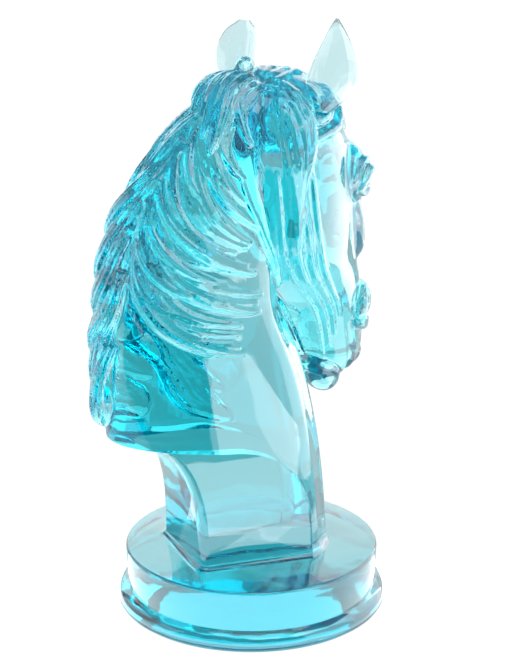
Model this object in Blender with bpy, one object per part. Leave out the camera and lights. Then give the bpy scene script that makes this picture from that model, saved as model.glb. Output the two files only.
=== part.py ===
"""A horse's head of clear blue glass on a round foot, cast in one piece.

Metres, +Z up. The origin is the middle of the foot's underside. The neck faces +X, and the
head is turned towards +Y, the horse's left, with the muzzle tucked down.
"""

import math
import random

import bmesh
import bpy
import numpy as np
from mathutils import Vector
from mathutils.bvhtree import BVHTree

MM = 0.001

# The round foot: a disc with a rolled bead at its base
FOOT_HEIGHT = 34 * MM
FOOT_RADIUS = 68 * MM
FOOT_EDGE_ROUND = 1.5 * MM
FOOT_WAIST = 1.2 * MM
BEAD_RADIUS = 5.5 * MM
BEAD_OVERHANG = 4.5 * MM
FOOT_SIDES = 72

# The horse above the foot. Its pose and carving are shares of its height or its head's length.
FIGURE_HEIGHT = 286 * MM
HEAD_LENGTH = 0.657 * FIGURE_HEIGHT
HEAD_YAW = 38.0
HEAD_PITCH = 19.6
POLL = (0.059, 0.007, 0.895)
FOOT_OVERLAP = 4 * MM

# The arch that is cut away behind the front of the neck
ARCH_RADIUS = 48 * MM
ARCH_TOP = 68 * MM
ARCH_FRONT = 22 * MM
ARCH_RISE = 4.5

# The block under the arch that carries the neck
BLOCK_BACK = -40.5 * MM
BLOCK_BACK_WIDTH = 57 * MM
BLOCK_FRONT_WIDTH = 64 * MM
BLOCK_CORNER = 5 * MM
BLOCK_TOP_FLARE = 24 * MM
BLOCK_FLARE_HEIGHT = 50 * MM
BLOCK_TAPER = 7 * MM
FOOT_FILLET = 3.5 * MM
ARCH_OVERLAP = 5 * MM

# The ears, as shares of the head's length. Each stands out from the middle, turns its opening
# in or out, leans to its side, and has its own length. A blunt ear has a rounder tip.
EAR_THICKNESS = 0.026
RIGHT_EAR = {"out": 0.143, "turn": 14.0, "lean": 0.15, "length": 0.226, "width": 0.136, "blunt": 0.0}
LEFT_EAR = {"out": 0.106, "turn": -28.0, "lean": -0.02, "length": 0.184, "width": 0.112, "blunt": 1.0}

# A millimetre of carving on the figure at its drawn height, so that the hair scales with it
CARVED = FIGURE_HEIGHT / 286

# How finely the figure is worked
CORE_VOXEL = 2.0 * CARVED
CARVING_VOXEL = 1.5 * CARVED
FIGURE_TRIANGLES = 6450
RING_STEPS = 48
EAR_RINGS = 14
EAR_SIDES = 16
CURVE_STEPS = 14


def clear_scene():
    for obj in list(bpy.data.objects):
        bpy.data.objects.remove(obj)


def new_object(name, mesh):
    obj = bpy.data.objects.new(name, mesh)
    bpy.context.scene.collection.objects.link(obj)
    return obj


def evaluated_mesh(obj):
    bpy.context.view_layer.update()
    graph = bpy.context.evaluated_depsgraph_get()
    return bpy.data.meshes.new_from_object(obj.evaluated_get(graph))


def smooth_row(rows, t):
    """The row at t, from 0 to 1, on a Catmull-Rom curve through evenly spaced rows."""
    rows = np.asarray(rows, float)
    last = len(rows) - 1
    place = min(max(t, 0.0), 1.0) * last
    i = min(int(place), last - 1)
    f = place - i
    here, there = rows[i], rows[i + 1]
    before = rows[i - 1] if i > 0 else 2 * here - there
    after = rows[i + 2] if i + 2 <= last else 2 * there - here
    return 0.5 * (
        2 * here
        + (there - before) * f
        + (2 * before - 5 * here + 4 * there - after) * f**2
        + (3 * here - before - 3 * there + after) * f**3
    )


def squared(value, power):
    """A sine or cosine with its curve made squarer, for a superellipse."""
    return math.copysign(abs(value) ** power, value)


def lofts(name, skins):
    """Closed skins in one object. Each is a list of rings with the same number of points."""
    bm = bmesh.new()
    for rings in skins:
        loops = [[bm.verts.new(point) for point in ring] for ring in rings]
        for lower, upper in zip(loops, loops[1:]):
            for i, corner in enumerate(lower):
                j = (i + 1) % len(lower)
                bm.faces.new((corner, lower[j], upper[j], upper[i]))
        bm.faces.new(reversed(loops[0]))
        bm.faces.new(loops[-1])
    bmesh.ops.recalc_face_normals(bm, faces=bm.faces)
    mesh = bpy.data.meshes.new(name)
    bm.to_mesh(mesh)
    bm.free()
    return new_object(name, mesh)


def loft(name, rings):
    return lofts(name, [rings])


# The neck

# Stations from the foot to the poll: centre forward and up, half depth, half width,
# forward tilt and turn in degrees. All but the angles are shares of the figure's height.
NECK_STATIONS = (
    (-0.066, -0.020, 0.208, 0.134, 0, 0),
    (-0.069, 0.110, 0.204, 0.130, 0, 0),
    (-0.082, 0.240, 0.201, 0.126, 0, 0),
    (-0.100, 0.371, 0.189, 0.120, 0, 0),
    (-0.119, 0.493, 0.163, 0.112, 2, 2),
    (-0.108, 0.608, 0.150, 0.105, 12, 6),
    (-0.070, 0.713, 0.126, 0.094, 35, 14),
    (-0.014, 0.797, 0.105, 0.084, 55, 26),
    (0.042, 0.832, 0.073, 0.077, 70, 38),
)
NECK_SQUARENESS = 0.9
CREST_NARROWING = 0.16


def neck_point(h, angle):
    """A point on the neck. h is 0 at the foot and 1 at the poll. The angle is 0 at the crest,
    90 on the horse's right side and 180 at the throat."""
    x, z, depth, width, tilt, yaw = smooth_row(NECK_STATIONS, h)
    turn, tilt, yaw = math.radians(angle), math.radians(tilt), math.radians(yaw)
    back = squared(math.cos(turn), NECK_SQUARENESS)
    side = squared(math.sin(turn), NECK_SQUARENESS) * (1 - CREST_NARROWING * back)
    fore = Vector((math.cos(yaw) * math.cos(tilt), math.sin(yaw) * math.cos(tilt), -math.sin(tilt)))
    right = Vector((math.sin(yaw), -math.cos(yaw), 0))
    share = Vector((x, 0, z)) - fore * depth * back + right * width * side
    point = share * FIGURE_HEIGHT + Vector((0, 0, FOOT_HEIGHT))
    above_foot = point.z - FOOT_HEIGHT
    if above_foot < FOOT_FILLET:
        rise = max(above_foot, 0.0)
        flare = FOOT_FILLET - math.sqrt(FOOT_FILLET**2 - (FOOT_FILLET - rise) ** 2)
        point += (right * side - fore * back).normalized() * flare
    return point


def neck():
    low_rings = [i / 240 for i in range(0, 36, 3)]
    rings = [h for h in low_rings] + [0.16 + 0.84 * i / 30 for i in range(31)]
    return loft(
        "neck",
        [[neck_point(h, 360 * k / RING_STEPS) for k in range(RING_STEPS)] for h in rings],
    )


# The head

YAW, PITCH = math.radians(HEAD_YAW), math.radians(HEAD_PITCH)
UP = Vector((0, 0, 1))
FORWARD = Vector((math.cos(YAW), math.sin(YAW), 0))
RIGHT = Vector((math.sin(YAW), -math.cos(YAW), 0))
DOWN = FORWARD * math.sin(PITCH) - UP * math.cos(PITCH)
FACE = FORWARD * math.cos(PITCH) + UP * math.sin(PITCH)
POLL_POINT = Vector(POLL) * FIGURE_HEIGHT + UP * FOOT_HEIGHT

# Stations from the poll to the lips, as shares of the head's length: along the head, forward
# to the face, back to the jaw, half width, and how much the face is narrower than the jaw
HEAD_STATIONS = (
    (-0.030, 0.000, 0.120, 0.075, 0.00),
    (0.000, 0.044, 0.170, 0.125, 0.00),
    (0.080, 0.100, 0.220, 0.156, 0.00),
    (0.180, 0.136, 0.250, 0.170, 0.05),
    (0.280, 0.142, 0.270, 0.174, 0.08),
    (0.380, 0.138, 0.278, 0.170, 0.12),
    (0.480, 0.130, 0.256, 0.160, 0.14),
    (0.580, 0.118, 0.196, 0.141, 0.14),
    (0.680, 0.110, 0.140, 0.128, 0.12),
    (0.780, 0.102, 0.116, 0.114, 0.10),
    (0.860, 0.092, 0.108, 0.103, 0.05),
    (0.930, 0.076, 0.100, 0.090, 0.00),
    (0.980, 0.046, 0.080, 0.066, 0.00),
    (1.008, 0.014, 0.044, 0.032, 0.00),
)
HEAD_SQUARENESS = 0.86


def head_place(along, front, side):
    """A place in the head, from the poll, in shares of the head's length."""
    return POLL_POINT + (DOWN * along + FACE * front + RIGHT * side) * HEAD_LENGTH


def head_point(t, angle):
    """A point on the skull's skin. The angle is 0 on the face and 90 on the right cheek."""
    along, front, rear, width, narrowing = smooth_row(HEAD_STATIONS, t)
    turn = math.radians(angle)
    fore = squared(math.cos(turn), HEAD_SQUARENESS)
    side = squared(math.sin(turn), HEAD_SQUARENESS) * (1 - narrowing * fore)
    middle, half = (front - rear) / 2, (front + rear) / 2
    return head_place(along, middle + half * fore, width * side)


def skull():
    return loft(
        "skull",
        [[head_point(i / 40, 360 * k / RING_STEPS) for k in range(RING_STEPS)] for i in range(41)],
    )


def ball(name, place, radii):
    """An egg shape in the head. Its radii run across, to the face and along the head."""
    bm = bmesh.new()
    bmesh.ops.create_icosphere(bm, subdivisions=4, radius=1.0)
    centre = head_place(*place)
    across, front, along = (r * HEAD_LENGTH for r in radii)
    for vert in bm.verts:
        x, y, z = vert.co
        vert.co = centre + RIGHT * x * across + FACE * y * front + DOWN * z * along
    bmesh.ops.recalc_face_normals(bm, faces=bm.faces)
    mesh = bpy.data.meshes.new(name)
    bm.to_mesh(mesh)
    bm.free()
    return new_object(name, mesh)


def tubes(name, strands, sides=2):
    """Round bars as one object. A strand is a list of points and a list of its radii."""
    curve = bpy.data.curves.new(name, "CURVE")
    curve.dimensions = "3D"
    curve.bevel_depth = 1.0
    curve.bevel_resolution = sides
    curve.use_fill_caps = True
    for points, radii in strands:
        spline = curve.splines.new("POLY")
        spline.points.add(len(points) - 1)
        for spot, point, radius in zip(spline.points, points, radii):
            spot.co = (*point, 1.0)
            spot.radius = radius
    holder = new_object(name + "_curve", curve)
    mesh = evaluated_mesh(holder)
    bpy.data.objects.remove(holder)
    return new_object(name, mesh)


def through(places, steps=CURVE_STEPS):
    """Points of a smooth curve through places in the head."""
    rows = [tuple(head_place(*place)) for place in places]
    return [Vector(smooth_row(rows, i / (steps - 1))) for i in range(steps)]


def swelling(steps, thick, root=0.35, tip=0.25):
    """Radii that swell from a root to a thickness and shrink to a tip."""
    radii = []
    for i in range(steps):
        t = i / (steps - 1)
        radii.append(thick * max(math.sin(math.pi * (0.12 + 0.80 * t)), root if t < 0.5 else tip))
    return radii


def cheeks_and_brows():
    """The round jowls, the ridges over the eyes, and the crests that run down the face."""
    pieces = []
    for side in (1, -1):
        pieces.append(ball("jowl", (0.365, -0.125, 0.098 * side), (0.070, 0.140, 0.150)))
        pieces.append(ball("brow", (0.312, 0.040, 0.122 * side), (0.076, 0.078, 0.100)))
        pieces.append(ball("face_crest", (0.450, 0.030, 0.130 * side), (0.040, 0.030, 0.150)))
    return pieces


def laid(skin, places, lift, steps=CURVE_STEPS):
    """A smooth path through places in the head, laid on its skin."""
    rows = []
    for point in through(places, steps):
        near, normal = skin.lay(point, 0.0)
        rows.append(near + normal * lift)
    return rows


def eyes(skin):
    """The eyeballs between an upper and a lower lid, with the wrinkle above."""
    pieces = []
    for side in (1, -1):
        pieces.append(ball("eye", (0.340, 0.054, 0.166 * side), (0.026, 0.036, 0.034)))
        upper = [(0.358, 0.102, 0.16 * side), (0.314, 0.084, 0.21 * side),
                 (0.306, 0.044, 0.21 * side), (0.346, -0.001, 0.20 * side)]
        lower = [(0.360, 0.104, 0.16 * side), (0.380, 0.074, 0.19 * side),
                 (0.376, 0.034, 0.19 * side), (0.348, -0.004, 0.20 * side)]
        fold = [(0.336, 0.122, 0.15 * side), (0.280, 0.098, 0.21 * side),
                (0.264, 0.044, 0.21 * side), (0.304, -0.016, 0.20 * side)]
        lines = []
        for places, thick, lift in ((upper, 0.014, 0.005), (lower, 0.010, 0.003), (fold, 0.011, 0.001)):
            path = laid(skin, places, lift * HEAD_LENGTH)
            lines.append((path, swelling(len(path), thick * HEAD_LENGTH)))
        pieces.append(tubes("eyelids", lines, 4))
    return pieces


def muzzle(skin):
    """The nostril wings, the lips and the chin."""
    pieces = [
        ball("upper_lip", (0.950, 0.012, 0.0), (0.082, 0.064, 0.054)),
        ball("chin", (0.950, -0.084, 0.0), (0.062, 0.046, 0.080)),
    ]
    for side in (1, -1):
        wing = [(0.840, 0.044, 0.10 * side), (0.830, 0.004, 0.13 * side), (0.785, -0.008, 0.14 * side),
                (0.735, 0.024, 0.14 * side), (0.740, 0.072, 0.12 * side)]
        path = laid(skin, wing, 0.012 * HEAD_LENGTH)
        radii = swelling(len(path), 0.020 * HEAD_LENGTH, 0.6, 0.6)
        pieces.append(tubes("nostril_wing", [(path, radii)], 4))
        pieces.append(ball("nostril_swell", (0.770, 0.042, 0.090 * side), (0.038, 0.050, 0.066)))
    return pieces


def jaw_streaks(skin):
    """Fine raised lines that follow the back of the jaw."""
    lines = []
    for side in (1, -1):
        for i in range(4):
            path = []
            for k in range(CURVE_STEPS):
                t = k / (CURVE_STEPS - 1)
                point = head_point(0.14 + 0.02 * i + (0.52 + 0.03 * i) * t, side * (118 + 12 * i + 10 * t))
                near, normal = skin.lay(point, 0.0)
                path.append(near + normal * 0.4 * CARVED)
            lines.append((path, swelling(CURVE_STEPS, 0.0085 * HEAD_LENGTH)))
    return tubes("jaw_streaks", lines, 2)


def ear(side, shape):
    """A pointed leaf, hollowed in front, with rounded edges."""
    base = head_place(0.010, -0.040, side * shape["out"])
    rise = (UP + FORWARD * 0.16 + RIGHT * shape["lean"]).normalized()
    swing = math.radians(shape["turn"])
    across = RIGHT * side * math.cos(swing) + FORWARD * math.sin(swing)
    across = (across - rise * across.dot(rise)).normalized()
    out = (FORWARD - rise * FORWARD.dot(rise) - across * FORWARD.dot(across)).normalized()
    sharp = np.array((0.50, 0.78, 0.96, 1.00, 0.93, 0.79, 0.60, 0.37, 0.05))
    round_tip = np.array((0.46, 0.70, 0.86, 0.96, 1.00, 0.98, 0.90, 0.71, 0.26))
    widths = (sharp + (round_tip - sharp) * shape["blunt"])[:, None]
    rings = []
    for i in range(EAR_RINGS + 1):
        t = i / EAR_RINGS
        share = float(smooth_row(widths, t)[0]) * shape["width"] / 2
        width = max(share * HEAD_LENGTH, 0.4 * CARVED)
        thick = min(EAR_THICKNESS * HEAD_LENGTH * (1 - 0.5 * t), width)
        middle = base + rise * (t * 1.15 - 0.15) * shape["length"] * HEAD_LENGTH
        middle += across * 0.018 * HEAD_LENGTH * math.sin(math.pi * t)
        ring = []
        for k in range(EAR_SIDES):
            around = 2 * math.pi * k / EAR_SIDES
            cup = 0.40 * width * math.cos(around) ** 2
            bulge = squared(math.sin(around), 0.8)
            ring.append(middle + across * width * math.cos(around) + out * (cup + thick / 2 * bulge))
        rings.append(ring)
    return loft("ear", rings)


# Fusing and carving

def fused(name, pieces, voxel, smoothing):
    """One skin round all the pieces, with its joints softened."""
    bm = bmesh.new()
    for piece in pieces:
        bm.from_mesh(piece.data)
        bpy.data.objects.remove(piece)
    mesh = bpy.data.meshes.new(name)
    bm.to_mesh(mesh)
    bm.free()
    obj = new_object(name, mesh)
    remesh = obj.modifiers.new("One skin", "REMESH")
    remesh.mode = "VOXEL"
    remesh.voxel_size = voxel
    if smoothing:
        smooth = obj.modifiers.new("Soften", "SMOOTH")
        smooth.factor = 0.5
        smooth.iterations = smoothing
    obj.data = evaluated_mesh(obj)
    obj.modifiers.clear()
    keep_outer_skin(obj)
    return obj


def keep_outer_skin(obj):
    """Drops any bubble that was closed in between the pieces."""
    bm = bmesh.new()
    bm.from_mesh(obj.data)
    waiting = set(bm.verts)
    skins = []
    while waiting:
        found = [waiting.pop()]
        for vert in found:
            for edge in vert.link_edges:
                other = edge.other_vert(vert)
                if other in waiting:
                    waiting.remove(other)
                    found.append(other)
        skins.append(found)
    skins.sort(key=len)
    inner = [vert for skin in skins[:-1] for vert in skin]
    bmesh.ops.delete(bm, geom=inner, context="VERTS")
    bm.to_mesh(obj.data)
    bm.free()


def press_in(obj, path, reach, depth):
    """Pushes the skin in along a path, deepest on the path itself."""
    path = np.array([tuple(p) for p in path])
    verts = obj.data.vertices
    places = np.empty(len(verts) * 3)
    verts.foreach_get("co", places)
    places = places.reshape(-1, 3)
    normals = np.array([tuple(v.normal) for v in verts])
    away = np.full(len(places), np.inf)
    for a, b in zip(path, path[1:]):
        run = b - a
        t = np.clip(((places - a) @ run) / (run @ run), 0, 1)
        away = np.minimum(away, np.linalg.norm(places - a - t[:, None] * run, axis=1))
    push = depth * np.clip(1 - (away / reach) ** 2, 0, 1) ** 1.5
    places -= normals * push[:, None]
    verts.foreach_set("co", places.ravel())
    obj.data.update()


# The mane

class Skin:
    """The surface that locks of hair are laid on."""

    def __init__(self, obj):
        bm = bmesh.new()
        bm.from_mesh(obj.data)
        self.tree = BVHTree.FromBMesh(bm)
        bm.free()

    def lay(self, point, lift):
        near, normal, _, _ = self.tree.find_nearest(point)
        return near + normal * lift, normal


def lock(skin, guide, width, thick, strands, twist=0.0, late=0.9):
    """A tapered lock that follows a guide over the skin: the rings of its body, and strands that
    stand out along it. Late moves its thickest part towards the tip."""
    steps = len(guide)
    body, lines = [], [([], []) for _ in range(strands)]
    spine = [skin.lay(point, 0.0) for point in guide]
    for i, (point, normal) in enumerate(spine):
        t = i / (steps - 1)
        swell = max(math.sin(math.pi * min(0.20 + 0.80 * t**late, 1.0)), 0.0) ** 0.7
        ahead = spine[min(i + 1, steps - 1)][0] - spine[max(i - 1, 0)][0]
        side = normal.cross(ahead).normalized()
        half = max(width / 2 * swell, 0.7 * CARVED)
        high = max(thick * 0.80 * swell, 0.7 * CARVED)
        turns = [2 * math.pi * k / 16 for k in range(16)]
        ring = []
        for a in turns:
            ring.append(point + side * half * math.cos(a) + normal * high * (math.sin(a) - 0.1))
        body.append(ring)
        for n, (points, radii) in enumerate(lines):
            place = 0.0 if strands == 1 else (2 * n / (strands - 1) - 1) * 0.88
            place = min(max(place + twist * math.sin(math.pi * t), -0.95), 0.95)
            crown = high * (math.sqrt(1 - place**2) - 0.1)
            points.append(point + side * half * place + normal * crown)
            radii.append(max(width / (strands + 0.4) * 0.46 * (0.30 + 0.70 * swell), 0.5 * CARVED))
    return [(body, lines)]


def neck_guide(root, tip, drop=1.5, turn=1.7, wave=0.0):
    """A path on the neck from a root to a tip, each a height and an angle. With drop and turn
    above 1 it runs down first and swings round late."""
    points = []
    for i in range(CURVE_STEPS):
        t = i / (CURVE_STEPS - 1)
        h = root[0] + (tip[0] - root[0]) * (1 - (1 - t) ** drop)
        angle = root[1] + (tip[1] - root[1]) * t**turn
        angle += wave * math.sin(2 * math.pi * t)
        points.append(neck_point(min(h, 1.0), angle))
    return points


# The right side's locks from the poll to the lowest: root height and angle, tip height and angle
RIGHT_LOCKS = (
    (0.97, 6, 0.78, 80),
    (0.93, 4, 0.69, 113),
    (0.86, 8, 0.62, 92),
    (0.80, 14, 0.56, 130),
    (0.74, 20, 0.49, 106),
    (0.66, 28, 0.43, 103),
)
RIGHT_LOCK_COUNT = 18
# The locks along the crest, from the poll down, in millimetres
CREST_LOCK_THICKNESS = ((7.0,), (14.0,), (13.0,), (9.5,), (13.0,))
LEFT_TIERS = 4
LEFT_LOCK_COUNT = 8


def right_mane(skin, strands, rng):
    """Long locks that leave the crest, run down along it and sweep forward over the right side."""
    made = []
    layers = ((RIGHT_LOCK_COUNT, 4.2, 1.0, 11.0), (RIGHT_LOCK_COUNT - 5, 7.2, 0.72, 8.5))
    for layer, (count, thick, reach, width) in enumerate(layers):
        for i in range(count):
            t = (i + 0.5 * layer) / (count - 1 + layer)
            h, angle, tip_h, tip_angle = smooth_row(RIGHT_LOCKS, t)
            tip_h = h + (tip_h - h) * reach + rng.uniform(-0.018, 0.018)
            tip_angle = angle + (tip_angle - angle) * reach + rng.uniform(-9, 7)
            root, tip = (h, angle - 6 * layer), (tip_h, tip_angle)
            guide = neck_guide(root, tip, 1.5, 1.7, rng.uniform(-6, 6))
            wide = (width + rng.uniform(-1.5, 1.5)) * CARVED
            high = (thick + rng.uniform(-1.2, 1.2)) * CARVED
            made += lock(skin, guide, wide, high, strands, rng.uniform(-0.4, 0.4))
    return made


def left_mane(skin, strands, rng):
    """Broad locks that hang down the crest and the left side, each over the one below."""
    made = []
    for tier in range(LEFT_TIERS):
        angle = 12 - 30 * tier
        for i in range(LEFT_LOCK_COUNT):
            t = (i + 0.5 * (tier % 2)) / (LEFT_LOCK_COUNT - 0.5)
            h = 0.91 - 0.49 * t
            tip = (max(h - 0.185, 0.240) + rng.uniform(0, 0.02), angle - 26 + rng.uniform(-5, 5))
            guide = neck_guide((h, angle), tip, 1.2, 1.2, rng.uniform(-5, 5))
            width = (15.0 + rng.uniform(-1.5, 2.5)) * CARVED
            thick = smooth_row(CREST_LOCK_THICKNESS, t)[0] if tier == 0 else 9.5 - 1.2 * tier
            thick = (thick + rng.uniform(-0.8, 0.8)) * CARVED
            made += lock(skin, guide, width, thick, strands + 1, rng.uniform(-0.3, 0.3), 1.9)
    return made


def poll_locks(skin, strands, rng):
    """The tuft behind the poll, the forelock between the ears, and the locks by each ear."""
    made = []
    for i in range(6):
        root = (0.950, -38 + 9 * i)
        guide = neck_guide(root, (0.84 - 0.014 * i, -30 + 15 * i), 1.3, 1.2, rng.uniform(-4, 4))
        made += lock(skin, guide, 12 * CARVED, 15 * CARVED, strands, rng.uniform(-0.3, 0.3), 0.85)
    for i in range(7):
        side = -0.075 + 0.025 * i
        low = 1.20 * max(side + 0.03, 0.0)
        guide = through([
            (low - 0.01, -0.09, side * 0.8),
            (low + 0.005, 0.00, side),
            (0.085, 0.095, side * 1.5),
            (0.17 + rng.uniform(-0.02, 0.02), 0.13, side * 1.9),
            (0.30 - abs(side), 0.13, side * 1.4),
        ])
        made += lock(skin, guide, 7.5 * CARVED, 4.0 * CARVED, strands, rng.uniform(-0.3, 0.3))
    for side in (1, -1):
        for i in range(4):
            rows = [
                tuple(head_place(-0.020, -0.050 - 0.020 * i, side * (0.030 + 0.010 * i))),
                tuple(head_place(0.080 + 0.020 * i, -0.120 - 0.030 * i, side * (0.150 - 0.008 * i))),
                tuple(head_place(0.200 + 0.030 * i, -0.215 - 0.012 * i, side * 0.152)),
                tuple(head_place(0.330 + 0.040 * i, -0.280 + 0.006 * i, side * (0.120 - 0.010 * i))),
            ]
            guide = [Vector(smooth_row(rows, k / (CURVE_STEPS - 1))) for k in range(CURVE_STEPS)]
            made += lock(skin, guide, 6.5 * CARVED, 3.0 * CARVED, strands, rng.uniform(-0.3, 0.3))
    curl = [(-0.030, -0.085, -0.060), (-0.085, -0.095, -0.055),
            (-0.100, -0.070, -0.050), (-0.070, -0.062, -0.048)]
    points = through(curl)
    made.append(([], [(points, swelling(len(points), 0.020 * HEAD_LENGTH, 0.7, 0.6))]))
    return made


# The foot, the arch and the block

def foot():
    """Turned from its outline, from the underside round the bead to the top."""
    bead_centre = FOOT_RADIUS + BEAD_OVERHANG - BEAD_RADIUS
    outline = []
    for i in range(8):
        turn = math.radians(-90 + 24.0 * i)
        outline.append((bead_centre + BEAD_RADIUS * math.cos(turn),
                        BEAD_RADIUS + BEAD_RADIUS * math.sin(turn)))
    outline.append((FOOT_RADIUS - FOOT_WAIST, 2 * BEAD_RADIUS + 0.6 * MM))
    for i in range(5):
        turn = math.radians(22.5 * i)
        outline.append((FOOT_RADIUS - FOOT_EDGE_ROUND * (1 - math.cos(turn)),
                        FOOT_HEIGHT - FOOT_EDGE_ROUND * (1 - math.sin(turn))))
    rings = []
    for radius, z in outline:
        turns = [2 * math.pi * k / FOOT_SIDES for k in range(FOOT_SIDES)]
        rings.append([(radius * math.cos(a), radius * math.sin(a), z) for a in turns])
    return loft("foot", rings)


def arch_cutter():
    """What is cut from under the neck: flat behind, and a quarter round down to the front."""
    top = FOOT_HEIGHT + ARCH_TOP
    centre_x, centre_z = ARCH_FRONT - ARCH_RADIUS, top - ARCH_RADIUS
    behind = centre_x - FIGURE_HEIGHT / 2
    outline = [(behind, -FOOT_HEIGHT), (ARCH_FRONT, -FOOT_HEIGHT)]
    for i in range(17):
        turn = math.radians(90 * i / 16)
        outline.append((centre_x + ARCH_RADIUS * math.cos(turn),
                        centre_z + ARCH_RADIUS * math.sin(turn)))
    outline.append((behind, top + math.tan(math.radians(ARCH_RISE)) * FIGURE_HEIGHT / 2))
    half = FIGURE_HEIGHT / 2
    cutter = loft("arch_cutter", [[(x, y, z) for x, z in outline] for y in (-half, half)])
    cutter.hide_render = True
    cutter.display_type = "WIRE"
    return cutter


def block_outline(z, grow_back, grow_rear, grow_front):
    """The block in plan: narrower behind with rounded corners, and narrowing upwards in front."""
    up = (z - FOOT_HEIGHT) / ARCH_TOP
    back = BLOCK_BACK - grow_back
    half_back = BLOCK_BACK_WIDTH / 2 + grow_rear
    half_front = BLOCK_FRONT_WIDTH / 2 + grow_front - BLOCK_TAPER * up
    side = [(ARCH_FRONT + ARCH_OVERLAP, half_front - 2 * ARCH_OVERLAP), (ARCH_FRONT, half_front)]
    for i in range(6):
        turn = math.radians(18 * i)
        side.append((back + BLOCK_CORNER * (1 - math.sin(turn)),
                     half_back - BLOCK_CORNER * (1 - math.cos(turn))))
    return side + [(x, -y) for x, y in reversed(side)]


def support_block():
    """It flares out into the foot below, and back into the underside of the neck above."""
    top = FOOT_HEIGHT + ARCH_TOP
    rings = [(FOOT_HEIGHT - FOOT_OVERLAP, FOOT_FILLET, FOOT_FILLET, FOOT_FILLET)]
    for i in range(7):
        turn = math.radians(15 * i)
        out = FOOT_FILLET * (1 - math.sin(turn))
        rings.append((FOOT_HEIGHT + FOOT_FILLET * (1 - math.cos(turn)), out, out, out))
    for i in range(9):
        turn = math.radians(90 - 11.25 * i)
        out = BLOCK_TOP_FLARE * (1 - math.sin(turn))
        rings.append((top - BLOCK_FLARE_HEIGHT * (1 - math.cos(turn)), out, -0.3 * out, 0.0))
    rings.append((top + ARCH_OVERLAP, BLOCK_TOP_FLARE, -0.3 * BLOCK_TOP_FLARE, 0.0))
    skin = []
    for z, back, rear, front in rings:
        slope = 0.0
        if z > FOOT_HEIGHT + FOOT_FILLET:
            slope = math.tan(math.radians(ARCH_RISE)) * back / BLOCK_TOP_FLARE
        outline = block_outline(z, back, rear, front)
        bend = ARCH_FRONT - ARCH_RADIUS
        skin.append([(x, y, z + slope * max(bend - x, 0.0)) for x, y in outline])
    return loft("support_block", skin)


def boolean(obj, other, operation):
    modifier = obj.modifiers.new(other.name, "BOOLEAN")
    modifier.operation = operation
    modifier.object = other
    modifier.solver = "EXACT"
    other.hide_render = True
    other.display_type = "WIRE"


def blue_glass():
    material = bpy.data.materials.new("blue_glass")
    material.use_nodes = True
    shader = material.node_tree.nodes["Principled BSDF"]
    shader.inputs["Base Color"].default_value = (0.30, 0.75, 0.82, 1)
    shader.inputs["Roughness"].default_value = 0.02
    shader.inputs["Metallic"].default_value = 0.0
    shader.inputs["Transmission Weight"].default_value = 1.0
    shader.inputs["IOR"].default_value = 1.5
    return material


def figure(voxel, strands):
    """The neck, head and mane as one skin, before the ears are put on and the arch is cut."""
    rng = random.Random(11)
    core = fused("core", [neck(), skull(), *cheeks_and_brows()], CORE_VOXEL, 14)
    skin = Skin(core)
    hair = right_mane(skin, strands, rng)
    hair += left_mane(skin, strands, rng)
    hair += poll_locks(skin, strands, rng)
    bodies = lofts("locks", [body for body, _ in hair if body])
    strand_lines = tubes("strands", [line for _, lines in hair for line in lines])
    pieces = [core, bodies, strand_lines, *eyes(skin), *muzzle(skin), jaw_streaks(skin)]
    whole = fused("glass_horse_head", pieces, voxel, 2)
    for side in (1, -1):
        line = [(0.800, -0.050, 0.12 * side), (0.870, -0.044, 0.12 * side),
                (0.930, -0.040, 0.10 * side), (0.985, -0.036, 0.06 * side), (1.020, -0.032, 0.0)]
        press_in(whole, laid(skin, line, 0.0, 16), 3.6 * CARVED, 2.8 * CARVED)
        hole = [(0.815, 0.022, 0.14 * side), (0.785, 0.024, 0.14 * side),
                (0.763, 0.044, 0.14 * side)]
        press_in(whole, laid(skin, hole, 0.012 * HEAD_LENGTH, 8), 4.4 * CARVED, 3.6 * CARVED)
        groove = [neck_point(0.04 + 0.62 * k / 15, side * 150) for k in range(16)]
        press_in(whole, groove, 9.0 * CARVED, 1.2 * CARVED)
    return whole


def main():
    clear_scene()
    horse = figure(CARVING_VOXEL, 3)
    lighter = horse.modifiers.new("Fewer faces", "DECIMATE")
    lighter.ratio = FIGURE_TRIANGLES / (2 * len(horse.data.polygons))
    boolean(horse, ear(1, RIGHT_EAR), "UNION")
    boolean(horse, ear(-1, LEFT_EAR), "UNION")
    boolean(horse, arch_cutter(), "DIFFERENCE")
    boolean(horse, support_block(), "UNION")
    boolean(horse, foot(), "UNION")
    horse.data.materials.clear()
    horse.data.materials.append(blue_glass())


if __name__ == "__main__":
    main()
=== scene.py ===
# %% [markdown]
# # A horse's head in clear blue glass
# The real object is one casting: a horse's head and neck with a flowing mane, an open arch under
# the back of the neck, and a round foot. Molten glass filled one mould, so there is no seam and
# no second part. This scene makes the same single piece, finely enough for its strands of hair,
# and gives it glass that lets light through.
#
# The first step loads the fixed frame that the piece has to match, and bakes each part's place into its
# mesh.

import math
import random

import bmesh
import bpy
import numpy as np
from mathutils import Matrix, Vector
from mathutils.bvhtree import BVHTree


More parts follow.
